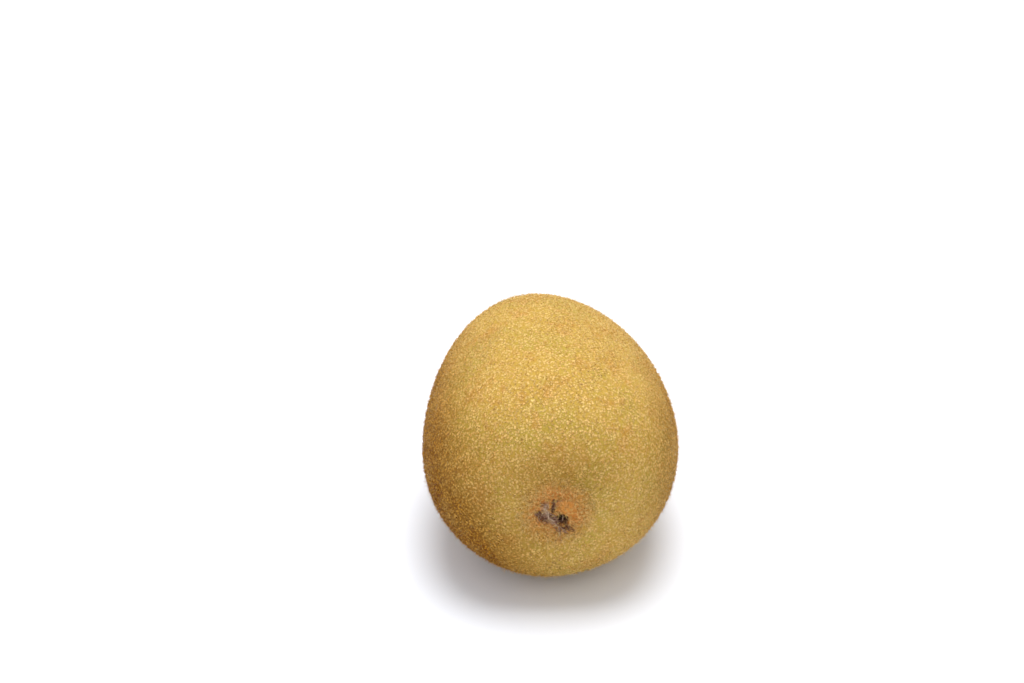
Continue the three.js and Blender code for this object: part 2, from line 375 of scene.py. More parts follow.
def makeFruit():
    travels, arcs, whole = ringTravels()
    turns = np.linspace(0, 2 * math.pi, fruit["segments"] + 1)[:-1] - math.pi / 2
    turnGrid, travelGrid = np.meshgrid(turns, travels)
    points = skinPoint(turnGrid, travelGrid).reshape(-1, 3)
    normals = skinNormal(turnGrid, travelGrid).reshape(-1, 3)
    for size, height in skinGrain.values():
        points += normals * (height * softNoise(points, size))[:, None]
    points[:, 2] = np.maximum(points[:, 2], lowest)
    poleTurn, poleTravel = np.zeros(2), np.array([-1.0, 1.0])
    allPoints = np.concatenate([points, skinPoint(poleTurn, poleTravel)])

    rings, segments = travelGrid.shape
    quads = ringFaces(rings, segments)
    around = np.arange(segments)
    after = (around + 1) % segments
    pole = np.full(segments, rings * segments)
    lastRing = (rings - 1) * segments
    blossomFan = np.stack([around, after, pole], -1)
    stemFan = np.stack([lastRing + after, lastRing + around, pole + 1], -1)
    corners = np.concatenate([quads.ravel(), blossomFan.ravel(), stemFan.ravel()])
    counts = np.concatenate([np.full((rings - 1) * segments, 4), np.full(2 * segments, 3)])

    step = 2 * math.pi / segments
    quadTurns = turns[quads[:, :1] % segments] + np.array([0, step, step, 0])
    quadArcs = arcs[quads // segments]
    reach = fruit["capRadius"]
    sides = np.where(quadArcs.max(-1) <= reach, -1, np.where(quadArcs.min(-1) >= whole - reach, 1, 0))
    places = [mapPlace(quadTurns, quadArcs, whole, sides[..., None])]
    for fanSteps, fanArcs, side in (((0, step, 0), (arcs[0], arcs[0], 0.0), -1),
                                    ((step, 0, 0), (arcs[-1], arcs[-1], whole), 1)):
        places.append(mapPlace(turns[:, None] + np.array(fanSteps), np.array([fanArcs]), whole, side))
    cornerMap = np.concatenate([np.stack([u.ravel(), v.ravel()], -1) for u, v in places])
    piece = makeMesh("kiwiSkin", allPoints * mm, corners, counts, cornerMap)

    where = np.concatenate([turnGrid.ravel(), poleTurn]), np.concatenate([travelGrid.ravel(), poleTravel])
    blossom, stem = endDistances(*where)
    for name, values in (("blossomDistance", blossom), ("stemDistance", stem), ("pitShade", pitShade(*where)),
                         ("moundTint", moundTint(*where)), ("russetAndShade", russetAndShade(allPoints))):
        setValues(piece.data.attributes.new(name, "FLOAT", "POINT").data, "value", values)
    return piece


kiwiSkin = makeFruit()
print("fruit made:", len(kiwiSkin.data.polygons), "faces")


# Hairs and fibres are coloured through their map: along each in u, and in v by its tint,
# which runs in steps from the palest (0) to the darkest (1).
strand = {
    "tintSteps": 16,
    "stripShare": 0.4,  # how far a strand's map spreads to each side, in steps
    "rootDepth": 0.08,  # how far a hair starts under the skin
    "twist": 0.5,
}

hair = {
    "outlineSamples": 2001,
    "rootsAround": 0.42,  # how far chance moves a root, in gaps between roots
    "rootsAlong": 0.035,
    "lastTravel": 0.998,
    "slantSpread": 6,  # degrees
    "flattest": 88,
    "lengthSpread": (0.75, 1.1),
    "rootShift": 0.07,
    # how tints change: distances where it starts and is full, then how much darker
    "blush": (9.1, 2.5, 0.06),
    "stem": (20.0, 5, 0.30),
    # darker hairs where the skin is browner, partly its own colour and partly painted shade
    "russetAndShade": 0.48,
    "unevenness": 0.9,  # how much more the tint varies where the skin is browner, partly its own colour and partly painted shade
    # darker hairs in the pit's painted shade
    "pit": 0.15,
    "tintSpread": 0.03,
    "tintRange": (0.02, 0.98),
    # bare skin: darkness of the pit where hair starts to thin and is gone, then how bare the mound is
    "bareShade": (0.35, 0.75),
    "bareMound": 0.6,
    "bareScar": (5.3, 4.3),
}


def tintStrip(tint):
    steps = strand["tintSteps"]
    level = (np.clip(np.floor(tint * steps), 0, steps - 1) + 0.5) / steps
    return level, strand["stripShare"] / steps


# Roots stand in a spiral like sunflower seeds, evenly over the skin, each moved a little by chance.
def spreadRoots(count, chance):
    travel, radius, step = outline(hair["outlineSamples"])
    area = np.concatenate(([0], np.cumsum(step * (radius[1:] + radius[:-1]) / 2)))
    seeds = np.arange(count) + 0.5
    gap = math.sqrt(2 * math.pi * area[-1] / count)
    share = (seeds + chance.normal(0, hair["rootsAlong"] * math.sqrt(count), count)) / count
    onTravel = np.interp(np.clip(share, 0, 1) * area[-1], area, travel)
    radiusHere = np.maximum(np.interp(onTravel, travel, radius), gap)
    moved = chance.normal(0, hair["rootsAround"], count) * gap / radiusHere
    return seeds * math.pi * (3 - math.sqrt(5)) + moved, onTravel


# the same, only within a distance of one pole (side -1 blossom, 1 stem)
def endRoots(count, chance, reach, side):
    radius = reach * np.sqrt(chance.random(count))
    spread = radius / (body["girthRadius"] * (1 - body["taper"] * side))
    travel = side * (1 - 2 / math.pi * np.arcsin(np.clip(spread, 0, 1) ** (1 / body["polePower"])))
    return chance.uniform(0, 2 * math.pi, count), travel


# closed three-sided hairs: a ring under the skin, a ring at the bend and a point
def makeHairs(name, roots, firsts, seconds, lengths, widths, tints, taper):
    count = len(roots)
    half = lengths[:, None] / 2
    base = roots - firsts * strand["rootDepth"]
    knee = roots + firsts * half
    across = unit(np.cross(firsts, seconds))
    over = np.cross(firsts, across)
    points = np.empty((count, 7, 3))
    for corner in range(3):
        angle = 2 * math.pi * corner / 3 + strand["twist"]
        ray = (across * math.cos(angle) + over * math.sin(angle)) * widths[:, None] / 2
        points[:, corner] = base + ray
        points[:, 3 + corner] = knee + ray * taper
    points[:, 6] = knee + seconds * half
    points[..., 2] = np.maximum(points[..., 2], lowest)
    faces = ((2, 1, 0), (0, 1, 4, 3), (1, 2, 5, 4), (2, 0, 3, 5), (3, 4, 6), (4, 5, 6), (5, 3, 6))
    order = [corner for face in faces for corner in face]
    counts = np.tile([len(face) for face in faces], count)
    corners = (np.arange(count)[:, None] * 7 + np.array(order)[None]).ravel()
    level, strip = tintStrip(tints)
    along = {3: (0.5, 0.5, 1.0), 4: (0.0, 0.0, 0.5, 0.5)}
    sideways = {3: (-strip, strip, 0.0), 4: (-strip, strip, strip, -strip)}
    alongOrder = [0.0, 0.0, 0.04] + [value for face in faces[1:] for value in along[len(face)]]
    sideOrder = [value for face in faces for value in sideways[len(face)]]
    cornerMap = np.empty((count, len(order), 2))
    cornerMap[..., 0] = np.array(alongOrder)[None]
    cornerMap[..., 1] = level[:, None] + np.array(sideOrder)[None]
    return makeMesh(name, points.reshape(-1, 3) * mm, corners, counts, cornerMap.reshape(-1, 2))


# hair tints, darker where the skin is browner (partly its own colour, partly painted shade) and in the pit's
# painted shade
def hairTints(turn, travel, roots, chance, base, spread):
    blossom, stem = endDistances(turn, travel)
    brownAndShade = russetAndShade(roots)
    tint = base + chance.normal(0, spread, len(turn)) * (1 + hair["unevenness"] * brownAndShade)
    for distance, (start, full, darker) in ((blossom, hair["blush"]), (stem, hair["stem"])):
        tint += darker * smoothStep(start, full, distance)
    tint += hair["russetAndShade"] * brownAndShade + hair["pit"] * pitShade(turn, travel)
    return np.clip(tint, *hair["tintRange"])


# bare skin in the pit and on the scar, thin cover on the mound
def keepHair(turn, travel, chance):
    _, stem = endDistances(turn, travel)
    shade = smoothStep(*hair["bareShade"], pitShade(turn, travel))
    bare = np.maximum(shade, hair["bareMound"] * moundTint(turn, travel))
    return chance.random(len(turn)) > np.maximum(bare, smoothStep(*hair["bareScar"], stem))


# Hairs grow in tufts of a few, which share a root and lean the same way.
def growHairs(name, style):
    chance = np.random.default_rng(style["seed"])
    if "reach" in style:
        turn, travel = endRoots(style["tufts"], chance, style["reach"], style["side"])
    else:
        turn, travel = spreadRoots(style["tufts"], chance)
    travel = np.clip(travel, -hair["lastTravel"], hair["lastTravel"])
    kept = keepHair(turn, travel, chance)
    turn, travel = (np.repeat(values[kept], style["hairs"]) for values in (turn, travel))
    roots, normals = skinPoint(turn, travel), skinNormal(turn, travel)
    count = len(turn)
    tufts = count // style["hairs"]

    def perTuft(values):
        return np.repeat(values, style["hairs"], axis=0)

    anyWay = perTuft(chance.normal(size=(tufts, 3)))
    anyWay[:, 1] -= style["combed"]
    flat = unit(anyWay - normals * np.sum(anyWay * normals, axis=1, keepdims=True))
    side = np.cross(normals, flat)
    way = unit(flat + side * chance.normal(0, style["splay"], count)[:, None])
    slant = perTuft(chance.uniform(*style["slant"], tufts))
    slant = np.radians(slant + chance.normal(0, hair["slantSpread"], count))[:, None]
    laid = np.minimum(slant + math.radians(style["bend"]), math.radians(hair["flattest"]))
    curl = side * chance.normal(0, style["curl"], count)[:, None]
    firsts = normals * np.cos(slant) + way * np.sin(slant)
    seconds = unit(normals * np.cos(laid) + way * np.sin(laid) + curl)
    lengths = perTuft(chance.uniform(*style["length"], tufts))
    lengths = lengths * chance.uniform(*hair["lengthSpread"], count)
    widths = chance.uniform(*style["width"], count)
    inTuft = np.tile(np.arange(style["hairs"]) - (style["hairs"] - 1) / 2, tufts)[:, None]
    shift = chance.normal(0, hair["rootShift"], count)[:, None]
    roots = roots + side * inTuft * style["spacing"] + flat * shift
    tints = hairTints(turn, travel, roots, chance, *style["tint"])
    tints = np.clip(tints + chance.normal(0, hair["tintSpread"], count), *hair["tintRange"])
    pieces = []
    parts = style["pieces"]
    for part in range(parts):
        pick = slice(count * part // parts, count * (part + 1) // parts)
        label = name if parts == 1 else name + "_" + str(part + 1)
        pieces.append(makeHairs(label, roots[pick], firsts[pick], seconds[pick], lengths[pick],
                                widths[pick], tints[pick], style["taper"]))
    print(name + ":", count, "hairs")
    return pieces


stubble = {
    "tufts": 17000,
    "hairs": 4,
    "spacing": 0.07,  # between the hairs of a tuft
    "length": (0.42, 0.8),
    "width": (0.05, 0.078),
    "taper": 0.8,  # width at the bend over width at the root
    "slant": (42, 80),  # degrees away from straight up
    "bend": 12,
    "curl": 0.3,
    "splay": 0.45,
    "combed": 0.4,  # how strongly the hairs point to the blossom end
    "tint": (0.14, 0.14),  # straw 0, tan and russet, dark brown 1; then how much it varies
    "pieces": 4,
    "seed": 11,
}

down = dict(stubble, tufts=12000, hairs=1, length=(0.7, 1.35), width=(0.045, 0.065), taper=0.7, slant=(0, 50),
            bend=30, curl=0.35, splay=0.2, combed=0.3, tint=(0.10, 0.06), pieces=1, seed=12)

# reach is how far from the pole they grow, on the blossom side -1 or the stem side 1
pitHairs = dict(stubble, tufts=720, hairs=2, spacing=0.12, reach=8.5, side=-1, length=(0.8, 1.7),
                width=(0.05, 0.085), taper=0.75, slant=(35, 80), bend=20, curl=0.5, splay=0.5, combed=0.0,
                tint=(0.03, 0.10), pieces=1, seed=13)

stemHairs = dict(pitHairs, tufts=3400, reach=19.0, side=1, length=(0.9, 1.9), width=(0.045, 0.08),
                 tint=(0.16, 0.12), seed=14)

hairPieces = (growHairs("stubble", stubble) + growHairs("down", down)
              + growHairs("pit_hairs", pitHairs) + growHairs("stem_hairs", stemHairs))


# distance from the fruit's middle to its plain end, across places x, z
def endReach(x, z, side):
    radius = np.hypot(x, z / body["flattening"]) / (body["girthRadius"] * (1 - body["taper"] * side))
    return body["halfLength"] * (1 - np.minimum(radius, 1) ** body["girthPower"]) ** (1 / body["lengthPower"])


def blossomSkin(x, z):
    return blossomDepth(x, z) - endReach(x, z, -1)


def stemSkin(x, z):
    return endReach(x, z, 1) - stemDepth(x, z)


# one piece from the points, faces and colour map of many closed bodies
def joinBodies(name, bodies):
    points, faces, faceMaps = zip(*bodies)
    starts = np.cumsum([0] + [len(part) for part in points])
    corners = [corner + start for start, part in zip(starts, faces) for face in part for corner in face]
    counts = [len(face) for part in faces for face in part]
    cornerMap = [place for part in faceMaps for faceMap in part for place in faceMap]
    return makeMesh(name, settle(np.concatenate(points)) * mm, corners, counts, cornerMap)


# a closed tapering fibre along a path across the blossom end, as rings of a few sides
def makeFibre(x, y, z, radii, tint):
    path = np.stack([x, y, z], -1)
    steps, sides = len(path), driedStyles["sides"]
    ahead = unit(np.gradient(path, axis=0))
    across = unit(np.cross(ahead, (0.03, 1.0, 0.05)))  # nearly straight out of the end
    over = np.cross(ahead, across)
    angles = np.arange(sides) / sides * 2 * math.pi
    rings = (path[:, None] + (across[:, None] * np.cos(angles)[None, :, None]
                              + over[:, None] * np.sin(angles)[None, :, None]) * radii[:, None, None])
    points = np.concatenate([rings.reshape(-1, 3), path[:1], path[-1:]])
    level, strip = tintStrip(tint)
    low, high = level - strip, level + strip
    faces = ringFaces(steps, sides)[:, ::-1]
    strips = np.tile([low, high, high, low], (len(faces), 1))
    faceMaps = np.stack([faces // sides / (steps - 1), strips], -1).tolist()
    faces = faces.tolist()
    first, last = steps * sides, steps * sides + 1
    for side in range(sides):
        after = (side + 1) % sides
        faces.append((first, after, side))
        faceMaps.append(((0.03, level), (0.0, low), (0.0, high)))
        faces.append((last, first - sides + side, first - sides + after))
        faceMaps.append(((1.0, level), (0.97, low), (0.97, high)))
    return points, faces, faceMaps


driedStyles = {
    "steps": 14,
    "sides": 5,
    "seed": 5,
    # start, pull, end across the blossom end, then fibres, spread, thickness, tint and lift off the skin
    "bundles": (
        ((0.3, -3.2), (-1.7, -2.6), (-4.3, -0.9), 20, 0.62, 0.15, 0.48, 0.34),
        ((-0.8, -2.7), (-2.7, -1.5), (-2.5, 3.0), 13, 0.26, 0.14, 0.16, 0.45),
        ((-1.6, -2.4), (-0.3, -3.7), (1.2, -4.8), 9, 0.32, 0.14, 0.22, 0.42),
        ((0.3, -3.9), (0.8, -5.6), (0.5, -8.2), 9, 0.36, 0.11, 0.40, 0.12),
        ((-2.3, -1.9), (-3.8, -1.0), (-5.4, -0.3), 8, 0.40, 0.13, 0.36, 0.26),
        ((1.7, -3.7), (2.5, -4.2), (3.5, -4.5), 7, 0.42, 0.12, 0.58, 0.12),
        ((1.3, -2.9), (1.2, -2.1), (1.05, -0.9), 3, 0.08, 0.15, 0.08, 0.40),
        ((-0.9, -0.6), (-0.8, 0.7), (-0.3, 1.8), 6, 0.30, 0.13, 0.62, 0.12),
        ((-1.2, 1.6), (0.0, 2.4), (1.5, 2.6), 6, 0.34, 0.12, 0.50, 0.14),
    ),
    "spreadAt": (0.5, 1.0, 1.3),  # shares of the spread at the start, pull and end
    "reach": (0.4, 1.0),
    "waves": ((0.16, 4, 12), (0.06, 16, 30)),  # height, then the fewest and most bends
    "thinning": (0.75, 1.5),  # how much is lost at the far end, and how late
    "thickSpread": (0.6, 1.1),
    "liftSpread": (0.1, 1.0),
    "deepest": 1.6,  # fibres bridge the hole, no deeper than this
    "tipLift": 0.35,
    "tintSpread": 0.16,
    "tintRange": (0.03, 0.97),
    # middle and half sizes of each matted patch, its main direction in degrees, then fibres and tint
    "mats": (
        ((-2.0, -1.9), (2.1, 1.0), -25, 70, 0.52),
        ((-2.5, 0.4), (0.6, 1.9), 80, 26, 0.40),
        ((1.9, -4.3), (1.2, 0.8), -40, 20, 0.55),
    ),
    "matSpread": 0.5,
    "matTurn": 45,  # degrees
    "matLength": (0.9, 2.2),
    "matArch": 0.25,
    "matThickness": (0.09, 0.15),
    "matThinning": 0.8,
    "matLift": (0.05, 0.4),
    "matTintSpread": 0.17,
    # short broken fibres round the inside of the hole
    "stubs": 11,
    "stubTurn": (-0.3, 0.3),  # in gaps between stubs
    "stubPlace": (0.6, 0.85),  # shares of the hole's radius
    "stubInward": (0.1, 0.7),
    "stubSway": 0.2,
    "stubHeight": (0.5, 1.3),
    "stubRoot": 0.25,
    "stubThickness": (0.14, 0.24),
    "stubThinning": 0.6,
    "stubTint": (0.6, 0.95),
}


def makeStyles():
    look = driedStyles
    chance = np.random.default_rng(look["seed"])
    fibres = []

    def some(name):
        return chance.uniform(*look[name])

    def ownTint(tint, name):
        return np.clip(tint + chance.normal(0, look[name]), *look["tintRange"])

    onward = np.linspace(0, 1, look["steps"])
    share = onward[:, None]
    thinning, late = look["thinning"]
    for start, pull, end, count, spread, thickness, tint, lift in look["bundles"]:
        for _ in range(count):
            first, second, third = (place + chance.normal(0, spread * size, 2)
                                    for place, size in zip((start, pull, end), look["spreadAt"]))
            along = share * some("reach")
            flat = (1 - along) ** 2 * first + 2 * along * (1 - along) * second + along ** 2 * third
            for size, slow, quick in look["waves"]:
                wave = np.sin(share * chance.uniform(slow, quick) + chance.uniform(0, 6))
                flat = flat + size * wave * chance.normal(0, 1, 2)
            x, z = flat.T
            thick = thickness * some("thickSpread") * (1 - thinning * onward ** late) / 2
            rise = thick + lift * some("liftSpread")
            rise = rise + look["tipLift"] * chance.random() * onward ** 3
            y = np.minimum(blossomDepth(x, z), look["deepest"]) - endReach(x, z, -1) - rise
            path = np.stack([x, y, z], -1)
            path[1:-1] = (path[:-2] + 2 * path[1:-1] + path[2:]) / 4
            fibres.append(makeFibre(*path.T, thick, ownTint(tint, "tintSpread")))
    for middle, halves, main, count, tint in look["mats"]:
        for _ in range(count):
            place = middle + np.array(halves) * np.clip(chance.normal(0, look["matSpread"], 2), -1, 1)
            angle = math.radians(main + chance.normal(0, look["matTurn"]))
            length = some("matLength")
            arch = chance.normal(0, look["matArch"]) * length
            way = np.array((math.cos(angle), math.sin(angle)))
            flat = place + (share - 0.5) * length * way
            x, z = (flat + 4 * share * (1 - share) * arch * np.array((-way[1], way[0]))).T
            thick = some("matThickness") / 2
            thick = thick * (1 - look["matThinning"] * np.abs(2 * onward - 1) ** 2)
            y = blossomSkin(x, z) - thick - some("matLift")
            fibres.append(makeFibre(x, y, z, thick, ownTint(tint, "matTintSpread")))
    hole, holeRadius, _ = blossomEnd["hole"]
    for stub in range(look["stubs"]):
        turn = 2 * math.pi * (stub + some("stubTurn")) / look["stubs"]
        fromHole = holeRadius * some("stubPlace") * np.array((math.cos(turn), math.sin(turn)))
        root = hole + fromHole
        inward = share * -fromHole * some("stubInward")
        x, z = (root + inward + share * chance.normal(0, look["stubSway"], 2)).T
        y = blossomSkin(*root) + look["stubRoot"] - some("stubHeight") * onward
        thick = some("stubThickness") * (1 - look["stubThinning"] * onward) / 2
        fibres.append(makeFibre(x, y, z, thick, some("stubTint")))
    return joinBodies("dried_style_fibres", fibres)


driedSepals = {
    "thickness": 0.16,
    "ringInner": 4.25,
    "ringOuter": 5.15,
    "ringSteps": (160, 6),  # round the scar and across the ring
    "innerWaves": (3, 1, 0.2),
    "ragged": (6, 1.1, 3, 4),  # radius, size, seed and octaves of the ragged edge's noise
    "raggedInner": 0.25,
    "raggedOuter": 0.45,
    "ringLift": (0.12, 0.35, 0.35),  # inside, at the edge, and where the edge is ragged
    # turn in degrees, length, width and curl of each broken flap
    "flaps": ((8, 1.8, 3.2, 0.5), (83, 1.0, 2.4, 0.9), (151, 1.6, 3.5, 0.3), (222, 0.8, 2.2, 0.8),
              (300, 1.3, 3.0, 0.6)),
    "flapSteps": (18, 34),
    "flapRoot": 0.35,  # beyond the ring's inside
    "flapShoulders": (0.55, 2.2),  # how much shorter a flap is at its sides, and how abruptly
    "tear": (4, 0.7, 4, 4),  # width, size, seed and octaves of the torn edge's noise
    "tearDepth": 0.5,
    "narrowing": 0.25,
    "flapLift": (0.28, 0.9),
    "flapCrumple": (7, 0.10),
}


# Gives a grid over the stem end its thickness and closes it; round grids join their last row to the first.
def makeSheet(x, lift, z, isRound=False):
    grid = np.stack([x, stemSkin(x, z) + lift, z], -1)
    rows, columns = grid.shape[:2]
    alongRows = np.roll(grid, -1, 0) - np.roll(grid, 1, 0) if isRound else np.gradient(grid, axis=0)
    outward = unit(np.cross(alongRows, np.gradient(grid, axis=1))) * driedSepals["thickness"] / 2
    points = np.concatenate([grid + outward, (grid - outward)[:, ::-1]], 1).reshape(-1, 3)
    sides = 2 * columns
    faces = ringFaces(rows, sides, isRound).tolist()
    last = (rows - 1) * sides
    for column in range(0 if isRound else columns - 1):
        under = sides - 1 - column
        faces.append([under - 1, under, column, column + 1])
        faces.append([last + under, last + under - 1, last + column + 1, last + column])
    places = np.stack([points[:, 0], points[:, 2]], -1) / 20 + 0.5  # its map is 20 mm across
    return points, faces, [places[face] for face in faces]


def makeSepals():
    look = driedSepals
    steps, columns = look["ringSteps"]
    turns = np.arange(steps)[:, None] / steps * 2 * math.pi
    noiseRadius, *raggedNoise = look["ragged"]
    places = np.concatenate([np.cos(turns), np.sin(turns), 0 * turns], 1) * noiseRadius
    ragged = softNoise(places, *raggedNoise)[:, None]
    waves, start, height = look["innerWaves"]
    inner = look["ringInner"] + height * np.sin(waves * turns + start) + look["raggedInner"] * ragged[::-1]
    outer = look["ringOuter"] + look["raggedOuter"] * ragged
    across = np.linspace(0, 1, columns)[None]
    radius = inner + (outer - inner) * across
    inside, edge, raggedLift = look["ringLift"]
    lift = inside + (edge + raggedLift * ragged) * across ** 2
    sheets = [makeSheet(radius * np.cos(turns), lift, radius * np.sin(turns), isRound=True)]
    rows, columns = look["flapSteps"]
    out = np.linspace(0, 1, rows)[:, None]
    over = np.linspace(-1, 1, columns)[None]
    tearWidth, *tearNoise = look["tear"]
    shorter, abruptly = look["flapShoulders"]
    lift, curlLift = look["flapLift"]
    creases, creaseHeight = look["flapCrumple"]
    for turn, length, width, curl in look["flaps"]:
        places = np.stack([over[0] * tearWidth, np.full(columns, turn), 0 * over[0]], -1)
        tear = softNoise(places, *tearNoise)[None]
        reach = length * (1 - shorter * np.abs(over) ** abruptly + look["tearDepth"] * tear)
        radius = look["ringInner"] + look["flapRoot"] + out * reach
        angle = math.radians(turn) + over * width / 2 / radius * (1 - look["narrowing"] * out)
        raised = lift + curlLift * curl * out ** 2 + creaseHeight * np.sin(over * creases + turn) * out
        sheets.append(makeSheet(radius * np.cos(angle), raised, radius * np.sin(angle)))
    return joinBodies("dried_sepal_ring", sheets)


styleFibres = makeStyles()
sepalRing = makeSepals()
print("dried remains made:", len(styleFibres.data.polygons) + len(sepalRing.data.polygons), "faces")


# a node tree, and short ways to put nodes in it
class Nodes:
    def __init__(self, tree):
        self.tree = tree

    def feed(self, socket, value):
        if isinstance(value, bpy.types.NodeSocket):
            self.tree.links.new(value, socket)
        elif socket.type == "RGBA":
            socket.default_value = (*value, 1)
        else:
            socket.default_value = value

    # inputs by name, or in their own order
    def add(self, kind, inputs=(), **settings):
        node = self.tree.nodes.new(kind)
        for key, value in settings.items():
            setattr(node, key, value)
        for key, value in inputs.items() if isinstance(inputs, dict) else enumerate(inputs):
            self.feed(node.inputs[key], value)
        return node

    def blend(self, share, first, second, kind="MIX"):
        node = self.add("ShaderNodeMix", {0: share, 6: first, 7: second}, data_type="RGBA", blend_type=kind)
        return node.outputs[2]

    def maths(self, kind, *values):
        return self.add("ShaderNodeMath", values, operation=kind).outputs[0]

    def fade(self, value, low, high, toLow=0.0, toHigh=1.0, kind="SMOOTHSTEP"):
        inputs = (value, low, high, toLow, toHigh)
        return self.add("ShaderNodeMapRange", inputs, interpolation_type=kind).outputs[0]

    def between(self, share, least, most):
        return share if (least, most) == (0, 1) else self.maths("MULTIPLY_ADD", share, most - least, least)

    def attribute(self, name):
        return self.add("ShaderNodeAttribute", attribute_name=name).outputs["Fac"]

    # Height and Mask of patches with a size in mm, detail, roughness and the mask's low and high
    def mottle(self, place, size, detail, rough, low=0.0, high=1.0):
        inputs = (place, size * mm, detail, rough, low, high)
        return self.add("ShaderNodeGroup", inputs, node_tree=mottleGroup).outputs

    def bump(self, height, distance, strength):
        inputs = {"Height": height, "Distance": distance, "Strength": strength}
        return self.add("ShaderNodeBump", inputs).outputs["Normal"]

    def shade(self, colour, roughness, specular=0.5, normal=None):
        inputs = {"Base Color": colour, "Roughness": roughness, "Specular IOR Level": specular}
        if normal:
            inputs["Normal"] = normal
        shader = self.add("ShaderNodeBsdfPrincipled", inputs)
        self.add("ShaderNodeOutputMaterial", {"Surface": shader.outputs["BSDF"]})


def newMaterial(name):
    material = bpy.data.materials.new(name)
    material.use_nodes = True
    material.node_tree.nodes.clear()
    return material, Nodes(material.node_tree)


def newGroup(name, inputs, outputs):
    tree = bpy.data.node_groups.new(name, "ShaderNodeTree")
    for way, sockets in (("INPUT", inputs), ("OUTPUT", outputs)):
        for label, kind in sockets.items():
            tree.interface.new_socket(name=label, in_out=way, socket_type="NodeSocket" + kind)
    nodes = Nodes(tree)
    return nodes, nodes.add("NodeGroupInput").outputs, nodes.add("NodeGroupOutput")


# soft patches of a given size in metres: the plain height, and a mask that rises from Low to High
def makeMottleGroup():
    nodes, given, result = newGroup("mottle", {
        "Place": "Vector", "Size": "Float", "Detail": "Float", "Rough": "Float", "Low": "Float",
        "High": "Float"}, {"Height": "Float", "Mask": "Float"})
    scale = nodes.maths("DIVIDE", 1.0, given["Size"])
    look = {"Vector": given["Place"], "Scale": scale, "Detail": given["Detail"], "Roughness": given["Rough"]}
    height = nodes.add("ShaderNodeTexNoise", look).outputs["Fac"]
    nodes.feed(result.inputs["Height"], height)
    nodes.feed(result.inputs["Mask"], nodes.fade(height, given["Low"], given["High"]))
    return nodes.tree


strandSteps = ((0.0, 0.22, "Pale"), (0.22, 0.45, "Middle"), (0.45, 0.7, "Dark"), (0.7, 1.0, "Darkest"))


# colour of a hair or fibre from its map: along it in u, its tint in v
def makeStrandGroup():
    nodes, given, result = newGroup("strand_colour", {
        "Map": "Vector", "Palest": "Color", "Pale": "Color", "Middle": "Color", "Dark": "Color",
        "Darkest": "Color", "Root Shade": "Float", "Tip": "Color", "Tip Share": "Float"}, {"Colour": "Color"})
    parts = nodes.add("ShaderNodeSeparateXYZ", (given["Map"],)).outputs
    colour = given["Palest"]
    for low, high, label in strandSteps:
        colour = nodes.blend(nodes.fade(parts["Y"], low, high, kind="LINEAR"), colour, given[label])
    shade = nodes.fade(parts["X"], 0.0, 0.6, given["Root Shade"], 1.0)
    colour = nodes.blend(1.0, colour, shade, kind="MULTIPLY")
    colour = nodes.blend(nodes.fade(parts["X"], 0.8, 1.0, 0.0, given["Tip Share"]), colour, given["Tip"])
    nodes.feed(result.inputs["Colour"], colour)
    return nodes.tree


mottleGroup = makeMottleGroup()
strandGroup = makeStrandGroup()

skinLook = {
    # colour of the mealy grains and of the skin between them
    "grain": (0.88, 0.61, 0.24),
    "grainWarm": (0.82, 0.47, 0.17),
    "gap": (0.5, 0.318, 0.06),
    "gapGreen": (0.42, 0.3, 0.05),
    "gapRed": (0.46, 0.225, 0.045),
    # browner flanks, underside and end face over the pit: partly the skin's own colour, partly painted shade
    "flankGrain": (0.53, 0.245, 0.02),
    "flankGap": (0.16, 0.052, 0.002),
    "blushGrain": (0.83, 0.41, 0.14),
    "blushGap": (0.51, 0.18, 0.036),
    "mound": (0.57, 0.245, 0.055),
    # pit: painted shade in the hole and the pore; trough: partly the matted fibres' own colour, partly
    # painted shade, and painted shade along the crease
    "pit": (0.03, 0.014, 0.01),
    "trough": (0.19, 0.08, 0.048),
    "scar": (0.46, 0.25, 0.135),
    "scarBrown": (0.25, 0.115, 0.05),
    "scarGreen": (0.19, 0.165, 0.05),
    "scarRim": (0.36, 0.27, 0.215),
    "groove": (0.075, 0.03, 0.012),
    "stemGrain": (0.46, 0.21, 0.065),
    "stemGap": (0.22, 0.078, 0.018),
    "fleck": (0.27, 0.135, 0.022),
    "lenticel": (0.2, 0.085, 0.03),
    "grainSize": 0.58,  # mm
    "grainMerging": 0.25,
    "grainCover": 0.82,
    "stemGrainCover": 0.8,
    "lenticelSpacing": 3.0,  # mm
    "specular": 0.06,
    "relief": (0.5, 0.3),  # shares of the grain and of the fine unevenness in the bump
    "bump": (0.00038, 0.8),  # height in metres and strength
}

# size in mm, detail, roughness, low and high of the mask, then its share there
skinPatches = {
    "green": (10.5, 3.0, 0.6, 0.45, 0.66, 0, 0.8),
    "red": (5.6, 4.0, 0.65, 0.50, 0.68, 0, 0.65),
    "redFleck": (2.4, 4.0, 0.7, 0.46, 0.66, 0, 1),
    "darkFleck": (0.45, 3.0, 0.65, 0.50, 0.68, 0, 0.4),
    "grainStrength": (1.5, 3.0, 0.65, 0.36, 0.60, 0.55, 1),
    "flank": (6.2, 4.0, 0.5, 0.3, 0.6, 0.78, 1),
    "moundWrinkle": (0.42, 3.0, 0.6, 0.35, 0.6, 0.3, 0.95),
    "scarBrown": (1.4, 5.0, 0.7, 0.42, 0.66, 0, 1),
    "scarArcs": (2.9, 2.0, 0.5, 0.42, 0.56, 0.1, 0.85),
    "roughness": (0.38, 3.0, 0.6, 0.3, 0.7, 0.56, 0.76),
}

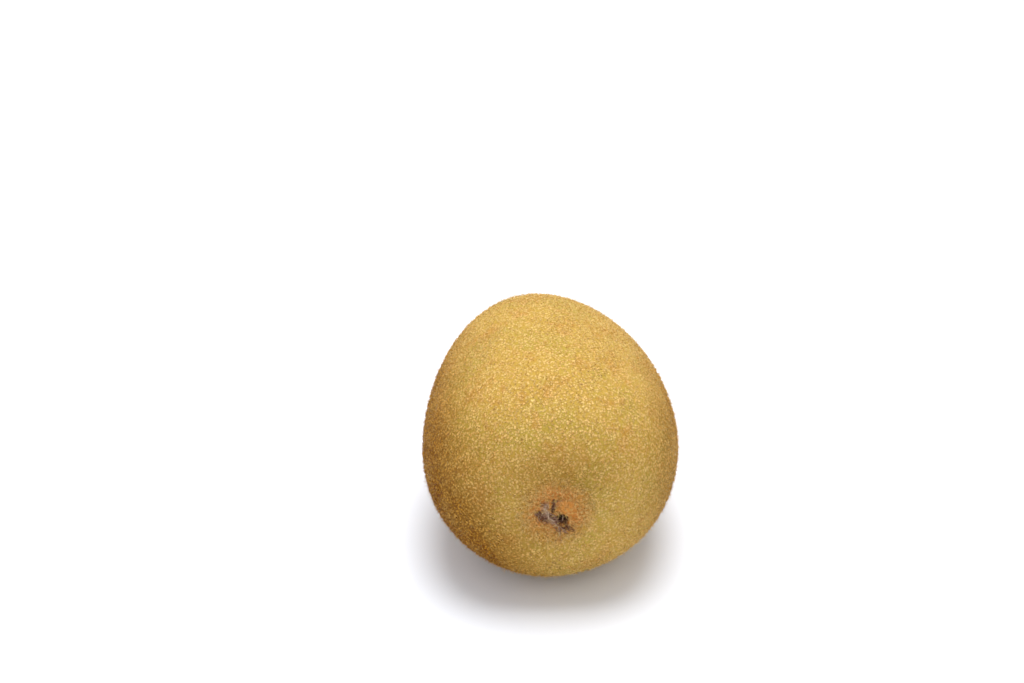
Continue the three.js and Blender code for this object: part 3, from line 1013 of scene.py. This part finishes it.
# size in mm, detail, roughness, then how much it moves the edge it is given to
skinWander = {
    "grainShape": (0.4, 2.0, 0.6, 0.5),
    "grainCrumb": (0.14, 3.0, 0.7, 0.5),
    "blush": (2.4, 4.0, 0.6, 4.6),
    "stem": (3.8, 4.0, 0.6, 7.0),
    "scar": (0.9, 4.0, 0.65, 1.6),
    "pit": (0.53, 4.0, 0.7, 0.5),
}

# where each starts and is full, and its share at both where it isn't 0 and 1
skinEdge = {
    "grain": (0.20, 0.64, 1.0, 0.0),  # in grain sizes from a grain's middle
    "lenticel": (0.06, 0.13, 0.6, 0.0),
    "blush": (9.0, 3.8, 0, 0.88),  # from here on in mm from the end's middle
    "stem": (23, 10, 0, 0.95),
    "groove": (5.5, 4.7),
    "scar": (4.3, 3.9),
    "rim": (2.8, 3.4),
    "rimSide": (0.0005, -0.0015, 0, 0.85),  # metres sideways
    "arcsInner": (0.9, 1.3),
    "arcsOuter": (2.5, 1.9),
    "trough": (0.2, 0.65),  # in shares of the pit's darkness
    "pit": (0.78, 0.95),
}


def makeSkinMaterial():
    material, nodes = newMaterial("kiwi_skin")
    look, mix = skinLook, nodes.blend
    place = nodes.add("ShaderNodeTexCoord").outputs["Object"]

    def patch(name):
        *noiseValues, least, most = skinPatches[name]
        return nodes.between(nodes.mottle(place, *noiseValues)["Mask"], least, most)

    def wander(value, name):
        *noiseValues, width = skinWander[name]
        height = nodes.mottle(place, *noiseValues)["Height"]
        return nodes.maths("ADD", value, nodes.between(height, -width / 2, width / 2))

    def edge(value, name):
        return nodes.fade(value, *skinEdge[name])

    def both(first, second):
        return nodes.maths("MULTIPLY", first, second)

    def cells(size, **more):
        return {"Vector": place, "Scale": 1.0 / (size * mm), **more}

    grains = nodes.add("ShaderNodeTexVoronoi", cells(look["grainSize"], Smoothness=look["grainMerging"]),
                       feature="SMOOTH_F1")
    away = wander(wander(grains.outputs["Distance"], "grainShape"), "grainCrumb")
    grain = both(edge(away, "grain"), patch("grainStrength"))
    # the skin between the grains goes from gold to green and red in soft patches
    red = patch("red")
    gap = mix(patch("green"), look["gap"], look["gapGreen"])
    gap = mix(red, gap, look["gapRed"])
    gap = mix(patch("darkFleck"), gap, look["fleck"])
    light = mix(nodes.maths("MAXIMUM", red, patch("redFleck")), look["grain"], look["grainWarm"])
    colour = mix(both(grain, look["grainCover"]), gap, light)
    # browner flanks, underside and end face over the pit: partly the skin's own colour, partly painted shade
    flank = mix(grain, look["flankGap"], look["flankGrain"])
    colour = mix(both(nodes.attribute("russetAndShade"), patch("flank")), colour, flank)
    dots = nodes.add("ShaderNodeTexVoronoi", cells(look["lenticelSpacing"]))
    colour = mix(edge(dots.outputs["Distance"], "lenticel"), colour, look["lenticel"])

    # blossom end
    near = wander(nodes.attribute("blossomDistance"), "blush")
    blush = mix(grain, look["blushGap"], look["blushGrain"])
    colour = mix(edge(near, "blush"), colour, blush)
    colour = mix(both(nodes.attribute("moundTint"), patch("moundWrinkle")), colour, look["mound"])

    # stem end
    near = nodes.attribute("stemDistance")
    stemColour = mix(both(grain, look["stemGrainCover"]), look["stemGap"], look["stemGrain"])
    colour = mix(edge(wander(near, "stem"), "stem"), colour, stemColour)
    ragged = wander(near, "scar")
    colour = mix(edge(ragged, "groove"), colour, look["groove"])
    scar = mix(patch("scarBrown"), look["scar"], look["scarBrown"])
    sideways = nodes.add("ShaderNodeSeparateXYZ", (place,)).outputs["X"]
    scar = mix(both(edge(ragged, "rim"), edge(sideways, "rimSide")), scar, look["scarRim"])
    arcs = both(both(edge(ragged, "arcsInner"), edge(ragged, "arcsOuter")), patch("scarArcs"))
    scar = mix(arcs, scar, look["scarGreen"])
    colour = mix(edge(ragged, "scar"), colour, scar)

    # painted shade in the pit, the crease and the pore, and the trough's dark, partly the matted fibres' own
    # colour and partly painted shade
    shade = wander(nodes.attribute("pitShade"), "pit")
    colour = mix(edge(shade, "trough"), colour, look["trough"])
    colour = mix(edge(shade, "pit"), colour, look["pit"])

    *noiseValues, smooth, dull = skinPatches["roughness"]
    fine = nodes.mottle(place, *noiseValues)
    grainShare, fineShare = look["relief"]
    height = nodes.maths("ADD", both(fine["Height"], fineShare), both(grain, grainShare))
    normal = nodes.bump(height, *look["bump"])
    nodes.shade(colour, nodes.between(fine["Mask"], smooth, dull), look["specular"], normal)
    return material


# tints from the palest strand to the darkest
hairLook = {
    "Palest": (0.94, 0.72, 0.31),
    "Pale": (0.84, 0.55, 0.175),
    "Middle": (0.69, 0.365, 0.055),
    "Dark": (0.4, 0.16, 0.017),
    "Darkest": (0.12, 0.05, 0.02),
    "Root Shade": 0.82,
    "Tip": (0.95, 0.78, 0.42),
    "Tip Share": 0.15,
}

fibreLook = {
    "Palest": (0.72, 0.54, 0.37),
    "Pale": (0.5, 0.335, 0.235),
    "Middle": (0.28, 0.135, 0.08),
    "Dark": (0.13, 0.052, 0.029),
    "Darkest": (0.035, 0.015, 0.01),
    "Root Shade": 1.0,
    "Tip": (0.5, 0.41, 0.33),
    "Tip Share": 0.3,
}

sepalLook = {
    "dark": (0.14, 0.052, 0.02),
    "pale": (0.42, 0.2, 0.085),
    "mottle": (1.1, 4.0, 0.5, 0.35, 0.68),
    "bump": (0.0001, 0.6),  # height in metres and strength
    "roughness": 0.8,
    "specular": 0.1,
}


def makeStrandMaterial(name, look, roughness, specular):
    material, nodes = newMaterial(name)
    strandMap = nodes.add("ShaderNodeUVMap", uv_map="OFBake").outputs["UV"]
    colour = nodes.add("ShaderNodeGroup", {"Map": strandMap, **look}, node_tree=strandGroup).outputs["Colour"]
    nodes.shade(colour, roughness, specular)
    return material


def makeSepalMaterial():
    material, nodes = newMaterial("dried_sepal")
    patches = nodes.mottle(nodes.add("ShaderNodeTexCoord").outputs["Object"], *sepalLook["mottle"])
    colour = nodes.blend(patches["Mask"], sepalLook["dark"], sepalLook["pale"])
    normal = nodes.bump(patches["Height"], *sepalLook["bump"])
    nodes.shade(colour, sepalLook["roughness"], sepalLook["specular"], normal)
    return material


kiwiSkin.data.materials.append(makeSkinMaterial())
hairMaterial = makeStrandMaterial("kiwi_hair", hairLook, roughness=0.5, specular=0.10)
for piece in hairPieces:
    piece.data.materials.append(hairMaterial)
styleFibres.data.materials.append(makeStrandMaterial("dried_style", fibreLook, roughness=0.8, specular=0.08))
sepalRing.data.materials.append(makeSepalMaterial())
print("materials made")


studio = {
    "floorSize": 6.0,
    "floorColour": (0.85, 0.875, 0.93),
    "floorRoughness": 0.6,
    "ambient": 0.74,
    # where each light stands, its size and its power
    "lights": {
        "key": ((0.06, 0.2, 1.25), 0.9, 14.6),
        "front": ((-0.5, -1.1, 0.8), 0.8, 2.0),
    },
}

camera = {
    "azimuth": -2.95,
    "elevation": 33.9,
    "distance": 0.532,
    "lens": 85,
    "nearest": 0.01,
    "aim": (-0.0085, 0.0189),  # where it looks, right of and above the fruit's middle
}


def turnTowards(item, target):
    item.rotation_euler = (target - item.location).to_track_quat("-Z", "Y").to_euler()


half = studio["floorSize"] / 2
floorCorners = [(-half, -half, 0), (half, -half, 0), (half, half, 0), (-half, half, 0)]
floor = makeMesh("floor", floorCorners, range(4), [4])
floorMaterial, floorNodes = newMaterial("floor_paper")
floorNodes.shade(studio["floorColour"], studio["floorRoughness"])
floor.data.materials.append(floorMaterial)

middle = Vector(((fruitLow[0] + fruitHigh[0]) / 2, 0, (fruitLow[2] + fruitHigh[2]) / 2)) * mm
for name, (at, size, power) in studio["lights"].items():
    light = bpy.data.lights.new(name, "AREA")
    light.shape = "DISK"
    light.size = size
    light.energy = power
    lamp = addObject(name, light)
    lamp.location = at
    turnTowards(lamp, middle)

world = bpy.data.worlds.new("studio")
world.use_nodes = True
background = world.node_tree.nodes["Background"].inputs
background["Color"].default_value = (1, 1, 1, 1)
background["Strength"].default_value = studio["ambient"]
bpy.context.scene.world = world
bpy.context.scene.view_settings.view_transform = "Standard"

azimuth, elevation = math.radians(camera["azimuth"]), math.radians(camera["elevation"])
level = math.cos(elevation)
back = Vector((math.sin(azimuth) * level, -math.cos(azimuth) * level, math.sin(elevation)))
right = Vector((math.cos(azimuth), math.sin(azimuth), 0))
cameraData = bpy.data.cameras.new("camera")
cameraData.lens = camera["lens"]
cameraData.clip_start = camera["nearest"]
view = addObject("camera", cameraData)
axisMiddle = Vector(standing) * mm
view.location = axisMiddle + back * camera["distance"]
turnTowards(view, axisMiddle + right * camera["aim"][0] + back.cross(right) * camera["aim"][1])
bpy.context.scene.camera = view
print("studio set")

for piece in [kiwiSkin] + hairPieces:
    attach(piece, "root")
for piece, node in ((styleFibres, "dried_styles"), (sepalRing, "dried_sepals")):
    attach(piece, "root")
    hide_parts(node)
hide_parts("fruit")
